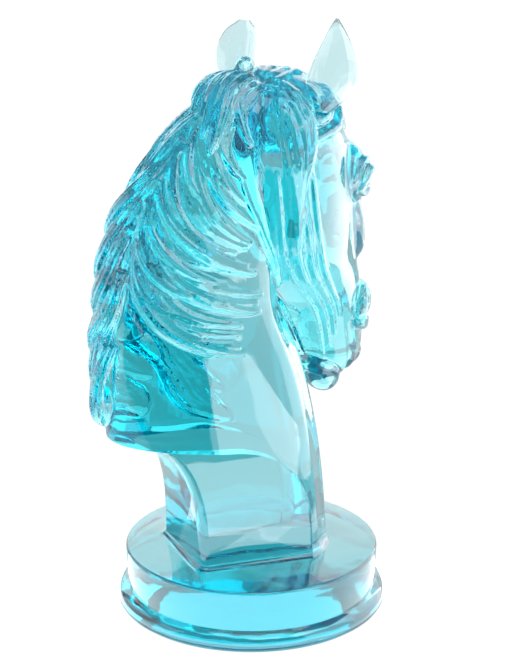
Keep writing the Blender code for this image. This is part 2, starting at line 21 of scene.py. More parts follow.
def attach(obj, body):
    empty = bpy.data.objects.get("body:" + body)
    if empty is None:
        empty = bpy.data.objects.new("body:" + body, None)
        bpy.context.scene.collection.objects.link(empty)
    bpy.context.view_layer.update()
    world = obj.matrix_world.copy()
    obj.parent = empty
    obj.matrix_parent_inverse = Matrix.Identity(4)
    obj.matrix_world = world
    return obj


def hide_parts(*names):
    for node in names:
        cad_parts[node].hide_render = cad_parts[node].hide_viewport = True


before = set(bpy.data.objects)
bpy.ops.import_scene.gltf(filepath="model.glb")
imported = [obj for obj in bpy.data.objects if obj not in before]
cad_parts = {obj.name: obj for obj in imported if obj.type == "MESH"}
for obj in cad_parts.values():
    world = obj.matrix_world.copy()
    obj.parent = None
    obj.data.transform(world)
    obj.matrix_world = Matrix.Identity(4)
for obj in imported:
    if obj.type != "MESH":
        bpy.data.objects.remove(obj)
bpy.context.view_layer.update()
bpy.ops.object.select_all(action="DESELECT")

# %% [markdown]
# # The camera
# A camera is placed by where it stands and what it looks at. This one stands behind the horse's
# right shoulder, a little above it, with a long lens, so that upright lines stay nearly upright.
# It comes first, so that any test render already shows the right view.

# %% Place the camera
VIEW_TURN = math.radians(22)
LENS = 162
CAMERA_AWAY = 1.5
CAMERA_HEIGHT = 0.71
sight = Vector((math.sin(VIEW_TURN), math.cos(VIEW_TURN), 0))
sideways = Vector((math.cos(VIEW_TURN), -math.sin(VIEW_TURN), 0))
camera_data = bpy.data.cameras.new("camera")
camera_data.lens = LENS
camera = bpy.data.objects.new("camera", camera_data)
bpy.context.scene.collection.objects.link(camera)
camera.location = sight * -CAMERA_AWAY + Vector((0, 0, CAMERA_HEIGHT))
target = sideways * 0.0025 + Vector((0, 0, 0.1525))
camera.rotation_euler = (target - camera.location).to_track_quat("-Z", "Y").to_euler()
bpy.context.scene.camera = camera
print("camera at", [round(v, 3) for v in camera.location])

# %% [markdown]
# # The light
# Glass shows almost nothing of itself. It shows what stands round it, bent and darkened, so the
# studio matters more here than on any other material. Two floors lie under the horse. The picture
# shows a white sheet. The glass sees only a calmer table, so its own colour isn't washed out.
# That table has bright and dark parts, which the picture doesn't show either. A bright card lies
# in front to the right. Faces that turn towards it mirror it, and that pale veil on the front of
# the neck shows how smooth it is. A dark card lies to the left of it, so the back of the neck
# mirrors nothing and stays deep in colour. A bright band round the foot does for the foot what
# the card does for the neck.

# %% Lay the sheet and the table
def new_object(name, data):
    obj = bpy.data.objects.new(name, data)
    bpy.context.scene.collection.objects.link(obj)
    return obj


def beside(across, away, up):
    """A place beside the object as the camera sees it: across to the right, and away behind."""
    return sideways * across + sight * away + Vector((0, 0, up))


def glowing(thing, name, base, glow):
    """Gives a plain thing of the studio its own grey and its own light."""
    material = bpy.data.materials.new(name)
    material.use_nodes = True
    shader = material.node_tree.nodes["Principled BSDF"]
    shader.inputs["Base Color"].default_value = (base, base, base, 1)
    shader.inputs["Roughness"].default_value = 0.8
    shader.inputs["Specular IOR Level"].default_value = 0.0
    shader.inputs["Emission Color"].default_value = (1, 1, 1, 1)
    shader.inputs["Emission Strength"].default_value = glow
    thing.data.materials.append(material)


def floor(name, up):
    bpy.ops.mesh.primitive_plane_add(size=14, location=(0, 0, up))
    plane = bpy.context.object
    plane.name = name
    return plane


table = floor("table", -0.001)
table.visible_camera = False
glowing(table, "pale_acrylic", base=0.3, glow=0.36)

sheet = floor("white_sheet", -0.0006)
sheet.visible_transmission = False
sheet.visible_glossy = False
sheet.visible_diffuse = False
sheet.visible_shadow = False
glowing(sheet, "white_paper", base=0.0, glow=1.05)
print("floors", table.name, sheet.name)

# %% [markdown]
# # Bright and dark parts of the table
# Each part is a flat patch. What a face of the glass mirrors was worked out first: a ray from the
# camera bounces off it and lands somewhere on the table, and there the patch is bright or dark.
# The far part is what the thin ears and the mane are seen against.

# %% Lay the bright and dark parts
BAND_INNER = 0.075
BAND_OUTER = 0.185
BAND_REACH = 118
BAND_STEPS = 60
FAR_PART = ((-2.0, 0.56), (2.0, 0.56), (2.0, 1.6), (-2.0, 1.6))
FRONT_PART = ((-1.0, -1.4), (0.3, -1.4), (0.3, -0.6), (-1.0, -0.6))
DARK_PART = ((-1.0, -0.26), (0.084, -0.26), (0.22, -0.58), (-1.0, -0.58))


def patch(name, finish, corners, up, glow):
    """A flat part of the table, from its corners beside the object. Only the glass sees it."""
    mesh = bpy.data.meshes.new(name)
    places = [beside(across, away, up) for across, away in corners]
    mesh.from_pydata(places, [], [tuple(range(len(places)))])
    part = new_object(name, mesh)
    part.visible_camera = False
    glowing(part, finish, base=0.0, glow=glow)
    return part


def front_arc(radius):
    """Places round the front of the foot, from its left to its right."""
    turns = [math.radians(BAND_REACH * (2 * i / BAND_STEPS - 1)) for i in range(BAND_STEPS + 1)]
    return [(radius * math.sin(a), -radius * math.cos(a)) for a in turns]


band = front_arc(BAND_OUTER) + front_arc(BAND_INNER)[::-1]
patches = [
    patch("far_table", "bright_acrylic", FAR_PART, up=-0.0008, glow=1.0),
    patch("front_table", "front_acrylic", FRONT_PART, up=0.001, glow=1.4),
    patch("dark_card", "black_card", DARK_PART, up=0.002, glow=0.0),
    patch("foot_band", "bright_band", band, up=0.0004, glow=2.1),
]
print("patches", [part.name for part in patches])

# %% [markdown]
# # Lamps
# Soft panels stand round the table, two hang above it, and the bright card lies on it. A standing
# panel is given by its two ends, its lower and upper edge, and its brightness. Its power is worked
# out from its area, so that its brightness is what the eye would see on it.

# %% Hang the lamps
STANDING_PANELS = {
    "right_panel": ((0.281, -0.312), (0.276, -0.030), (0.0, 0.30), 1.2),
    "high_right_panel": ((0.270, -0.340), (0.276, -0.030), (0.3, 0.70), 2.2),
    "face_panel": ((0.276, -0.030), (0.270, 0.322), (0.0, 0.35), 2.2),
    "left_panel": ((-0.433, -0.250), (-0.383, 0.320), (0.0, 0.35), 0.8),
    "low_back_panel": ((-1.2, 1.6), (1.2, 1.6), (0.0, 0.40), 0.8),
    "high_back_panel": ((-1.2, 1.6), (1.2, 1.6), (0.4, 1.50), 1.2),
}
HIGH_PANELS = {
    "top_panel": ((0, -0.2, 1.5), (1.0, 0.7), 0.9),
    "front_top_panel": ((0.25, -0.9, 1.45), (0.6, 0.6), 2.0),
}
CARD_TURN = math.radians(23)
CARD_CORNER = Vector((0.039, -0.155))
CARD_LONG = 0.68
CARD_WIDE = 0.45
CARD_BRIGHTNESS = 2.5
HEAD_SPOT = Vector((0, 0, 0.17))


def panel(name, place, size, brightness):
    width, height = size
    light = bpy.data.lights.new(name, "AREA")
    light.shape = "RECTANGLE"
    light.size = width
    light.size_y = height
    light.energy = math.pi * width * height * brightness
    lamp = new_object(name, light)
    lamp.location = place
    return lamp


def turn_to(lamp, spot):
    lamp.rotation_euler = (spot - lamp.location).to_track_quat("-Z", "Y").to_euler()


def standing_panel(name, first, last, heights, brightness):
    """A panel that stands between two places beside the object and faces it."""
    first, last = Vector(first), Vector(last)
    run = last - first
    middle = (first + last) / 2
    face = Vector((-run.y, run.x)).normalized()
    if face.dot(middle) > 0:
        face = -face
    low, high = heights
    up = (low + high) / 2
    size = (run.length, high - low)
    lamp = panel(name, beside(*middle, up), size, brightness)
    turn_to(lamp, beside(*(middle + face), up))


for name, sizes in STANDING_PANELS.items():
    standing_panel(name, *sizes)
for name, (place, size, brightness) in HIGH_PANELS.items():
    turn_to(panel(name, beside(*place), size, brightness), HEAD_SPOT)
card_edge = Vector((math.sin(CARD_TURN), -math.cos(CARD_TURN)))
card_side = Vector((math.cos(CARD_TURN), math.sin(CARD_TURN)))
card_middle = CARD_CORNER + card_edge * CARD_LONG / 2 + card_side * CARD_WIDE / 2
card = panel("front_card", beside(*card_middle, 0.004), (CARD_LONG, CARD_WIDE), CARD_BRIGHTNESS)
card_run = sideways * card_edge.x + sight * card_edge.y
card.rotation_euler = (math.pi, 0, math.atan2(card_run.y, card_run.x))

# %% [markdown]
# # The room
# An even, weak light comes from all round. Light passes many strands of hair before it leaves the
# glass, so its paths may be long. The plain Standard view shows colours as they are.

# %% Light the room
ROOM_LIGHT = 0.32
LONGEST_PATH = 32
world = bpy.data.worlds.new("room")
bpy.context.scene.world = world
world.use_nodes = True
room = world.node_tree.nodes["Background"]
room.inputs["Color"].default_value = (1, 1, 1, 1)
room.inputs["Strength"].default_value = ROOM_LIGHT
bpy.context.scene.view_settings.view_transform = "Standard"
paths = bpy.context.scene.cycles
paths.max_bounces = LONGEST_PATH
paths.glossy_bounces = LONGEST_PATH
paths.transmission_bounces = LONGEST_PATH
print("room light", ROOM_LIGHT)

# %% [markdown]
# # Sizes
# Every size is a named value. The pose and carving are shares of the figure's height or of the
# head's length, so the horse keeps its proportions if its height changes.

# %% Name the sizes
MM = 0.001
FOOT_HEIGHT = 34 * MM
FOOT_RADIUS = 68 * MM
FOOT_EDGE_ROUND = 1.5 * MM
FOOT_WAIST = 1.2 * MM
BEAD_RADIUS = 5.5 * MM
BEAD_OVERHANG = 4.5 * MM
FIGURE_HEIGHT = 286 * MM
HEAD_LENGTH = 0.657 * FIGURE_HEIGHT
HEAD_YAW = 38.0
HEAD_PITCH = 19.6
POLL = (0.059, 0.007, 0.895)
FOOT_OVERLAP = 4 * MM
ARCH_RADIUS = 48 * MM
ARCH_TOP = 68 * MM
ARCH_FRONT = 22 * MM
ARCH_RISE = 4.5
BLOCK_BACK = -40.5 * MM
BLOCK_BACK_WIDTH = 57 * MM
BLOCK_FRONT_WIDTH = 64 * MM
BLOCK_CORNER = 5 * MM
BLOCK_TOP_FLARE = 24 * MM
BLOCK_FLARE_HEIGHT = 50 * MM
BLOCK_TAPER = 7 * MM
FOOT_FILLET = 3.5 * MM
ARCH_OVERLAP = 5 * MM
EAR_THICKNESS = 0.026
RIGHT_EAR = {"out": 0.143, "turn": 14.0, "lean": 0.15, "length": 0.226, "width": 0.136, "blunt": 0.0}
LEFT_EAR = {"out": 0.106, "turn": -28.0, "lean": -0.02, "length": 0.184, "width": 0.112, "blunt": 1.0}
CARVED = FIGURE_HEIGHT / 286
FOOT_SIDES = 160
CORE_VOXEL = 1.6 * CARVED
CARVING_VOXEL = 0.72 * CARVED
MOST_TRIANGLES = 172000
SHARP_EDGE = 38
STRANDS = 5
RING_STEPS = 64
EAR_RINGS = 24
EAR_SIDES = 32
CURVE_STEPS = 18
print("figure", FIGURE_HEIGHT, "head", round(HEAD_LENGTH, 4))

# %% [markdown]
# # Helpers for round, flowing forms
# A neck or a head is a row of rings with a skin stretched over them, which is called a loft. The
# rings come from a few stations, and a smooth curve through the stations fills in the rest.

# %% Helpers for lofts
def select_only(obj):
    bpy.ops.object.select_all(action="DESELECT")
    obj.select_set(True)
    bpy.context.view_layer.objects.active = obj


def apply_modifiers(obj):
    """Makes what the modifiers show the object's own mesh."""
    select_only(obj)
    for modifier in list(obj.modifiers):
        bpy.ops.object.modifier_apply(modifier=modifier.name)


def smooth_row(rows, t):
    """The row at t, from 0 to 1, on a Catmull-Rom curve through evenly spaced rows."""
    rows = np.asarray(rows, float)
    last = len(rows) - 1
    place = min(max(t, 0.0), 1.0) * last
    i = min(int(place), last - 1)
    f = place - i
    here, there = rows[i], rows[i + 1]
    before = rows[i - 1] if i > 0 else 2 * here - there
    after = rows[i + 2] if i + 2 <= last else 2 * there - here
    return 0.5 * (
        2 * here
        + (there - before) * f
        + (2 * before - 5 * here + 4 * there - after) * f**2
        + (3 * here - before - 3 * there + after) * f**3
    )


def squared(value, power):
    """A sine or cosine with its curve made squarer, for a superellipse."""
    return math.copysign(abs(value) ** power, value)


def lofts(name, skins):
    """Closed skins in one object. Each is a list of rings with the same number of points."""
    bm = bmesh.new()
    for rings in skins:
        loops = [[bm.verts.new(point) for point in ring] for ring in rings]
        for lower, upper in zip(loops, loops[1:]):
            for i, corner in enumerate(lower):
                j = (i + 1) % len(lower)
                bm.faces.new((corner, lower[j], upper[j], upper[i]))
        bm.faces.new(reversed(loops[0]))
        bm.faces.new(loops[-1])
    bmesh.ops.recalc_face_normals(bm, faces=bm.faces)
    mesh = bpy.data.meshes.new(name)
    bm.to_mesh(mesh)
    bm.free()
    return new_object(name, mesh)


def loft(name, rings):
    return lofts(name, [rings])

# %% [markdown]
# # The neck
# The neck is a loft of egg-shaped rings that lean forward and turn as they rise to the poll, the
# top of the head. Its front is broad and its back, the crest, is narrower.

# %% Shape the neck
NECK_STATIONS = (
    (-0.066, -0.020, 0.208, 0.134, 0, 0),
    (-0.069, 0.110, 0.204, 0.130, 0, 0),
    (-0.082, 0.240, 0.201, 0.126, 0, 0),
    (-0.100, 0.371, 0.189, 0.120, 0, 0),
    (-0.119, 0.493, 0.163, 0.112, 2, 2),
    (-0.108, 0.608, 0.150, 0.105, 12, 6),
    (-0.070, 0.713, 0.126, 0.094, 35, 14),
    (-0.014, 0.797, 0.105, 0.084, 55, 26),
    (0.042, 0.832, 0.073, 0.077, 70, 38),
)
NECK_SQUARENESS = 0.9
CREST_NARROWING = 0.16


def neck_point(h, angle):
    """A point on the neck. h is 0 at the foot and 1 at the poll. The angle is 0 at the crest,
    90 on the horse's right side and 180 at the throat."""
    x, z, depth, width, tilt, yaw = smooth_row(NECK_STATIONS, h)
    turn, tilt, yaw = math.radians(angle), math.radians(tilt), math.radians(yaw)
    back = squared(math.cos(turn), NECK_SQUARENESS)
    side = squared(math.sin(turn), NECK_SQUARENESS) * (1 - CREST_NARROWING * back)
    fore = Vector((math.cos(yaw) * math.cos(tilt), math.sin(yaw) * math.cos(tilt), -math.sin(tilt)))
    right = Vector((math.sin(yaw), -math.cos(yaw), 0))
    share = Vector((x, 0, z)) - fore * depth * back + right * width * side
    point = share * FIGURE_HEIGHT + Vector((0, 0, FOOT_HEIGHT))
    above_foot = point.z - FOOT_HEIGHT
    if above_foot < FOOT_FILLET:
        rise = max(above_foot, 0.0)
        flare = FOOT_FILLET - math.sqrt(FOOT_FILLET**2 - (FOOT_FILLET - rise) ** 2)
        point += (right * side - fore * back).normalized() * flare
    return point


def neck():
    """The lowest rings are close together, because the neck flares out into the foot there."""
    heights = [i / 80 for i in range(12)] + [0.16 + 0.84 * i / 30 for i in range(31)]
    turns = [360 * k / RING_STEPS for k in range(RING_STEPS)]
    return loft("neck", [[neck_point(h, turn) for turn in turns] for h in heights])


print("throat", neck_point(0.5, 180))

# %% [markdown]
# # The head
# The head has directions of its own: down its length, forward to the face, and to its right. All
# places in it are given along those, as shares of its length, so the carving turns with it.

# %% Shape the skull
YAW, PITCH = math.radians(HEAD_YAW), math.radians(HEAD_PITCH)
UP = Vector((0, 0, 1))
FORWARD = Vector((math.cos(YAW), math.sin(YAW), 0))
RIGHT = Vector((math.sin(YAW), -math.cos(YAW), 0))
DOWN = FORWARD * math.sin(PITCH) - UP * math.cos(PITCH)
FACE = FORWARD * math.cos(PITCH) + UP * math.sin(PITCH)
POLL_POINT = Vector(POLL) * FIGURE_HEIGHT + UP * FOOT_HEIGHT
HEAD_STATIONS = (
    (-0.030, 0.000, 0.120, 0.075, 0.00),
    (0.000, 0.044, 0.170, 0.125, 0.00),
    (0.080, 0.100, 0.220, 0.156, 0.00),
    (0.180, 0.136, 0.250, 0.170, 0.05),
    (0.280, 0.142, 0.270, 0.174, 0.08),
    (0.380, 0.138, 0.278, 0.170, 0.12),
    (0.480, 0.130, 0.256, 0.160, 0.14),
    (0.580, 0.118, 0.196, 0.141, 0.14),
    (0.680, 0.110, 0.140, 0.128, 0.12),
    (0.780, 0.102, 0.116, 0.114, 0.10),
    (0.860, 0.092, 0.108, 0.103, 0.05),
    (0.930, 0.076, 0.100, 0.090, 0.00),
    (0.980, 0.046, 0.080, 0.066, 0.00),
    (1.008, 0.014, 0.044, 0.032, 0.00),
)
HEAD_SQUARENESS = 0.86


def head_place(along, front, side):
    """A place in the head, from the poll, in shares of the head's length."""
    return POLL_POINT + (DOWN * along + FACE * front + RIGHT * side) * HEAD_LENGTH


def head_point(t, angle):
    """A point on the skull's skin. The angle is 0 on the face and 90 on the right cheek."""
    along, front, rear, width, narrowing = smooth_row(HEAD_STATIONS, t)
    turn = math.radians(angle)
    fore = squared(math.cos(turn), HEAD_SQUARENESS)
    side = squared(math.sin(turn), HEAD_SQUARENESS) * (1 - narrowing * fore)
    middle, half = (front - rear) / 2, (front + rear) / 2
    return head_place(along, middle + half * fore, width * side)


def skull():
    turns = [360 * k / RING_STEPS for k in range(RING_STEPS)]
    return loft("skull", [[head_point(i / 40, turn) for turn in turns] for i in range(41)])


print("nose", head_point(1.0, 0))

# %% [markdown]
# # Cheeks and brows
# Round forms under the skin, such as the jowl, are eggs pushed into the head. When all is fused,
# only their swell shows.

# %% Add the forms under the skin
def ball(name, place, radii):
    """An egg shape in the head. Its radii run across, to the face and along the head."""
    bpy.ops.object.select_all(action="DESELECT")
    bpy.ops.mesh.primitive_ico_sphere_add(subdivisions=4, radius=1.0, location=(0, 0, 0))
    egg = bpy.context.object
    egg.name = name
    across, front, along = (r * HEAD_LENGTH for r in radii)
    shape = Matrix((RIGHT * across, FACE * front, DOWN * along)).transposed().to_4x4()
    shape.translation = head_place(*place)
    egg.data.transform(shape)
    if shape.determinant() < 0:
        egg.data.flip_normals()
    return egg


def cheeks_and_brows():
    """The round jowls, the ridges over the eyes, and the crests that run down the face."""
    pieces = []
    for side in (1, -1):
        pieces.append(ball("jowl", (0.365, -0.125, 0.098 * side), (0.070, 0.140, 0.150)))
        pieces.append(ball("brow", (0.312, 0.040, 0.122 * side), (0.076, 0.078, 0.100)))
        pieces.append(ball("face_crest", (0.450, 0.030, 0.130 * side), (0.040, 0.030, 0.150)))
    return pieces

# %% [markdown]
# # Fusing
# A voxel remesh wraps one skin round many overlapping pieces, as a mould does. A little smoothing
# then softens the joints. It can close in a bubble between pieces, and that is dropped.

# %% Fuse the core
def fused(name, pieces, voxel, smoothing):
    """One skin round all the pieces, with its joints softened."""
    bm = bmesh.new()
    for piece in pieces:
        bm.from_mesh(piece.data)
        bpy.data.objects.remove(piece)
    mesh = bpy.data.meshes.new(name)
    bm.to_mesh(mesh)
    bm.free()
    obj = new_object(name, mesh)
    remesh = obj.modifiers.new("One skin", "REMESH")
    remesh.mode = "VOXEL"
    remesh.voxel_size = voxel
    if smoothing:
        smooth = obj.modifiers.new("Soften", "SMOOTH")
        smooth.factor = 0.5
        smooth.iterations = smoothing
    apply_modifiers(obj)
    keep_outer_skin(obj)
    return obj


def keep_outer_skin(obj):
    """Drops any bubble that was closed in between the pieces."""
    bm = bmesh.new()
    bm.from_mesh(obj.data)
    waiting = set(bm.verts)
    skins = []
    while waiting:
        found = [waiting.pop()]
        for vert in found:
            for edge in vert.link_edges:
                other = edge.other_vert(vert)
                if other in waiting:
                    waiting.remove(other)
                    found.append(other)
        skins.append(found)
    skins.sort(key=len)
    inner = [vert for skin in skins[:-1] for vert in skin]
    bmesh.ops.delete(bm, geom=inner, context="VERTS")
    bm.to_mesh(obj.data)
    bm.free()


class Skin:
    """The surface that locks of hair are laid on."""

    def __init__(self, obj):
        bm = bmesh.new()
        bm.from_mesh(obj.data)
        self.tree = BVHTree.FromBMesh(bm)
        bm.free()

    def lay(self, point, lift):
        near, normal, _, _ = self.tree.find_nearest(point)
        return near + normal * lift, normal


core = fused("core", [neck(), skull(), *cheeks_and_brows()], CORE_VOXEL, 22)
skin = Skin(core)
print("core", len(core.data.polygons), "faces")

# %% [markdown]
# # Fine carving of the face
# Lids, nostril wings and the lines along the jaw are thin round bars laid on the skin. A curve
# with a bevel makes such a bar, and its radius at each point swells and tapers it.

# %% Carve the face
def tubes(name, strands, sides=2):
    """Round bars as one object. A strand is a list of points and a list of its radii."""
    curve = bpy.data.curves.new(name, "CURVE")
    curve.dimensions = "3D"
    curve.bevel_depth = 1.0
    curve.bevel_resolution = sides
    curve.use_fill_caps = True
    for points, radii in strands:
        spline = curve.splines.new("POLY")
        spline.points.add(len(points) - 1)
        for spot, point, radius in zip(spline.points, points, radii):
            spot.co = (*point, 1.0)
            spot.radius = radius
    select_only(new_object(name, curve))
    bpy.ops.object.convert(target="MESH")
    return bpy.context.object


def through(places, steps=CURVE_STEPS):
    """Points of a smooth curve through places in the head."""
    rows = [tuple(head_place(*place)) for place in places]
    return [Vector(smooth_row(rows, i / (steps - 1))) for i in range(steps)]


def swelling(steps, thick, root=0.35, tip=0.25):
    """Radii that swell from a root to a thickness and shrink to a tip."""
    radii = []
    for i in range(steps):
        t = i / (steps - 1)
        radii.append(thick * max(math.sin(math.pi * (0.12 + 0.80 * t)), root if t < 0.5 else tip))
    return radii


def laid(skin, places, lift, steps=CURVE_STEPS):
    """A smooth path through places in the head, laid on its skin."""
    rows = []
    for point in through(places, steps):
        near, normal = skin.lay(point, 0.0)
        rows.append(near + normal * lift)
    return rows


def eyes(skin):
    """The eyeballs between an upper and a lower lid, with the wrinkle above."""
    pieces = []
    for side in (1, -1):
        pieces.append(ball("eye", (0.340, 0.054, 0.166 * side), (0.026, 0.036, 0.034)))
        upper = [(0.358, 0.102, 0.16 * side), (0.314, 0.084, 0.21 * side),
                 (0.306, 0.044, 0.21 * side), (0.346, -0.001, 0.20 * side)]
        lower = [(0.360, 0.104, 0.16 * side), (0.380, 0.074, 0.19 * side),
                 (0.376, 0.034, 0.19 * side), (0.348, -0.004, 0.20 * side)]
        fold = [(0.336, 0.122, 0.15 * side), (0.280, 0.098, 0.21 * side),
                (0.264, 0.044, 0.21 * side), (0.304, -0.016, 0.20 * side)]
        lines = []
        for places, thick, lift in ((upper, 0.014, 0.005), (lower, 0.010, 0.003), (fold, 0.011, 0.001)):
            path = laid(skin, places, lift * HEAD_LENGTH)
            lines.append((path, swelling(len(path), thick * HEAD_LENGTH)))
        pieces.append(tubes("eyelids", lines, 4))
    return pieces


def muzzle(skin):
    """The nostril wings, the lips and the chin."""
    pieces = [
        ball("upper_lip", (0.950, 0.012, 0.0), (0.082, 0.064, 0.054)),
        ball("chin", (0.950, -0.084, 0.0), (0.062, 0.046, 0.080)),
    ]
    for side in (1, -1):
        wing = [(0.840, 0.044, 0.10 * side), (0.830, 0.004, 0.13 * side), (0.785, -0.008, 0.14 * side),
                (0.735, 0.024, 0.14 * side), (0.740, 0.072, 0.12 * side)]
        path = laid(skin, wing, 0.012 * HEAD_LENGTH)
        radii = swelling(len(path), 0.020 * HEAD_LENGTH, 0.6, 0.6)
        pieces.append(tubes("nostril_wing", [(path, radii)], 4))
        pieces.append(ball("nostril_swell", (0.770, 0.042, 0.090 * side), (0.038, 0.050, 0.066)))
    return pieces


def jaw_streaks(skin):
    """Fine raised lines that follow the back of the jaw."""
    lines = []
    for side in (1, -1):
        for i in range(4):
            path = []
            for k in range(CURVE_STEPS):
                t = k / (CURVE_STEPS - 1)
                point = head_point(0.14 + 0.02 * i + (0.52 + 0.03 * i) * t, side * (118 + 12 * i + 10 * t))
                near, normal = skin.lay(point, 0.0)
                path.append(near + normal * 0.4 * CARVED)
            lines.append((path, swelling(CURVE_STEPS, 0.0085 * HEAD_LENGTH)))
    return tubes("jaw_streaks", lines, 2)

# %% [markdown]
# # Locks of hair
# One lock is a flat tapered body with strands standing out along it. It follows a guide over the
# skin, from its root to a pointed tip. The mane is many such locks in layers.

# %% Make one lock
def lock(skin, guide, width, thick, strands, twist=0.0, late=0.9):
    """A tapered lock that follows a guide over the skin: the rings of its body, and strands that
    stand out along it. Late moves its thickest part towards the tip."""
    steps = len(guide)
    body, lines = [], [([], []) for _ in range(strands)]
    spine = [skin.lay(point, 0.0) for point in guide]
    for i, (point, normal) in enumerate(spine):
        t = i / (steps - 1)
        swell = max(math.sin(math.pi * min(0.20 + 0.80 * t**late, 1.0)), 0.0) ** 0.7
        ahead = spine[min(i + 1, steps - 1)][0] - spine[max(i - 1, 0)][0]
        side = normal.cross(ahead).normalized()
        half = max(width / 2 * swell, 0.7 * CARVED)
        high = max(thick * 0.80 * swell, 0.7 * CARVED)
        turns = [2 * math.pi * k / 16 for k in range(16)]
        ring = []
        for a in turns:
            ring.append(point + side * half * math.cos(a) + normal * high * (math.sin(a) - 0.1))
        body.append(ring)
        for n, (points, radii) in enumerate(lines):
            place = 0.0 if strands == 1 else (2 * n / (strands - 1) - 1) * 0.88
            place = min(max(place + twist * math.sin(math.pi * t), -0.95), 0.95)
            crown = high * (math.sqrt(1 - place**2) - 0.1)
            points.append(point + side * half * place + normal * crown)
            radii.append(max(width / (strands + 0.4) * 0.46 * (0.30 + 0.70 * swell), 0.5 * CARVED))
    return [(body, lines)]


def neck_guide(root, tip, drop=1.5, turn=1.7, wave=0.0):
    """A path on the neck from a root to a tip, each a height and an angle. With drop and turn
    above 1 it runs down first and swings round late."""
    points = []
    for i in range(CURVE_STEPS):
        t = i / (CURVE_STEPS - 1)
        h = root[0] + (tip[0] - root[0]) * (1 - (1 - t) ** drop)
        angle = root[1] + (tip[1] - root[1]) * t**turn
        angle += wave * math.sin(2 * math.pi * t)
        points.append(neck_point(min(h, 1.0), angle))
    return points

# %% [markdown]
# # The mane
# The hair falls to both sides from the crest. On the right it runs down along the crest and then
# sweeps forward in long arcs. On the left broad locks overlap like tiles. A tuft stands behind
# the poll, a forelock lies between the ears, and a few straight locks hang beside each ear.

# %% Lay the mane
RIGHT_LOCKS = (
    (0.97, 6, 0.78, 80),
    (0.93, 4, 0.69, 113),
    (0.86, 8, 0.62, 92),
    (0.80, 14, 0.56, 130),
    (0.74, 20, 0.49, 106),
    (0.66, 28, 0.43, 103),
)
RIGHT_LOCK_COUNT = 18
CREST_LOCK_THICKNESS = ((7.0,), (14.0,), (13.0,), (9.5,), (13.0,))
LEFT_TIERS = 4
LEFT_LOCK_COUNT = 8


def right_mane(skin, strands, rng):
    """Long locks that leave the crest, run down along it and sweep forward over the right side."""
    made = []
    layers = ((RIGHT_LOCK_COUNT, 4.2, 1.0, 11.0), (RIGHT_LOCK_COUNT - 5, 7.2, 0.72, 8.5))
    for layer, (count, thick, reach, width) in enumerate(layers):
        for i in range(count):
            t = (i + 0.5 * layer) / (count - 1 + layer)
            h, angle, tip_h, tip_angle = smooth_row(RIGHT_LOCKS, t)
            tip_h = h + (tip_h - h) * reach + rng.uniform(-0.018, 0.018)
            tip_angle = angle + (tip_angle - angle) * reach + rng.uniform(-9, 7)
            root, tip = (h, angle - 6 * layer), (tip_h, tip_angle)
            guide = neck_guide(root, tip, 1.5, 1.7, rng.uniform(-6, 6))
            wide = (width + rng.uniform(-1.5, 1.5)) * CARVED
            high = (thick + rng.uniform(-1.2, 1.2)) * CARVED
            made += lock(skin, guide, wide, high, strands, rng.uniform(-0.4, 0.4))
    return made


def left_mane(skin, strands, rng):
    """Broad locks that hang down the crest and the left side, each over the one below."""
    made = []
    for tier in range(LEFT_TIERS):
        angle = 12 - 30 * tier
        for i in range(LEFT_LOCK_COUNT):
            t = (i + 0.5 * (tier % 2)) / (LEFT_LOCK_COUNT - 0.5)
            h = 0.91 - 0.49 * t
            tip = (max(h - 0.185, 0.240) + rng.uniform(0, 0.02), angle - 26 + rng.uniform(-5, 5))
            guide = neck_guide((h, angle), tip, 1.2, 1.2, rng.uniform(-5, 5))
            width = (15.0 + rng.uniform(-1.5, 2.5)) * CARVED
            thick = smooth_row(CREST_LOCK_THICKNESS, t)[0] if tier == 0 else 9.5 - 1.2 * tier
            thick = (thick + rng.uniform(-0.8, 0.8)) * CARVED
            made += lock(skin, guide, width, thick, strands + 1, rng.uniform(-0.3, 0.3), 1.9)
    return made


def poll_locks(skin, strands, rng):
    """The tuft behind the poll, the forelock between the ears, and the locks by each ear."""
    made = []
    for i in range(6):
        root = (0.950, -38 + 9 * i)
        guide = neck_guide(root, (0.84 - 0.014 * i, -30 + 15 * i), 1.3, 1.2, rng.uniform(-4, 4))
        made += lock(skin, guide, 12 * CARVED, 15 * CARVED, strands, rng.uniform(-0.3, 0.3), 0.85)
    for i in range(7):
        side = -0.075 + 0.025 * i
        low = 1.20 * max(side + 0.03, 0.0)
        guide = through([
            (low - 0.01, -0.09, side * 0.8),
            (low + 0.005, 0.00, side),
            (0.085, 0.095, side * 1.5),
            (0.17 + rng.uniform(-0.02, 0.02), 0.13, side * 1.9),
            (0.30 - abs(side), 0.13, side * 1.4),
        ])
        made += lock(skin, guide, 7.5 * CARVED, 4.0 * CARVED, strands, rng.uniform(-0.3, 0.3))
    for side in (1, -1):
        for i in range(4):
            rows = [
                tuple(head_place(-0.020, -0.050 - 0.020 * i, side * (0.030 + 0.010 * i))),
                tuple(head_place(0.080 + 0.020 * i, -0.120 - 0.030 * i, side * (0.150 - 0.008 * i))),
                tuple(head_place(0.200 + 0.030 * i, -0.215 - 0.012 * i, side * 0.152)),
                tuple(head_place(0.330 + 0.040 * i, -0.280 + 0.006 * i, side * (0.120 - 0.010 * i))),
            ]
            guide = [Vector(smooth_row(rows, k / (CURVE_STEPS - 1))) for k in range(CURVE_STEPS)]
            made += lock(skin, guide, 6.5 * CARVED, 3.0 * CARVED, strands, rng.uniform(-0.3, 0.3))
    curl = [(-0.030, -0.085, -0.060), (-0.085, -0.095, -0.055),
            (-0.100, -0.070, -0.050), (-0.070, -0.062, -0.048)]
    points = through(curl)
    made.append(([], [(points, swelling(len(points), 0.020 * HEAD_LENGTH, 0.7, 0.6))]))
    return made


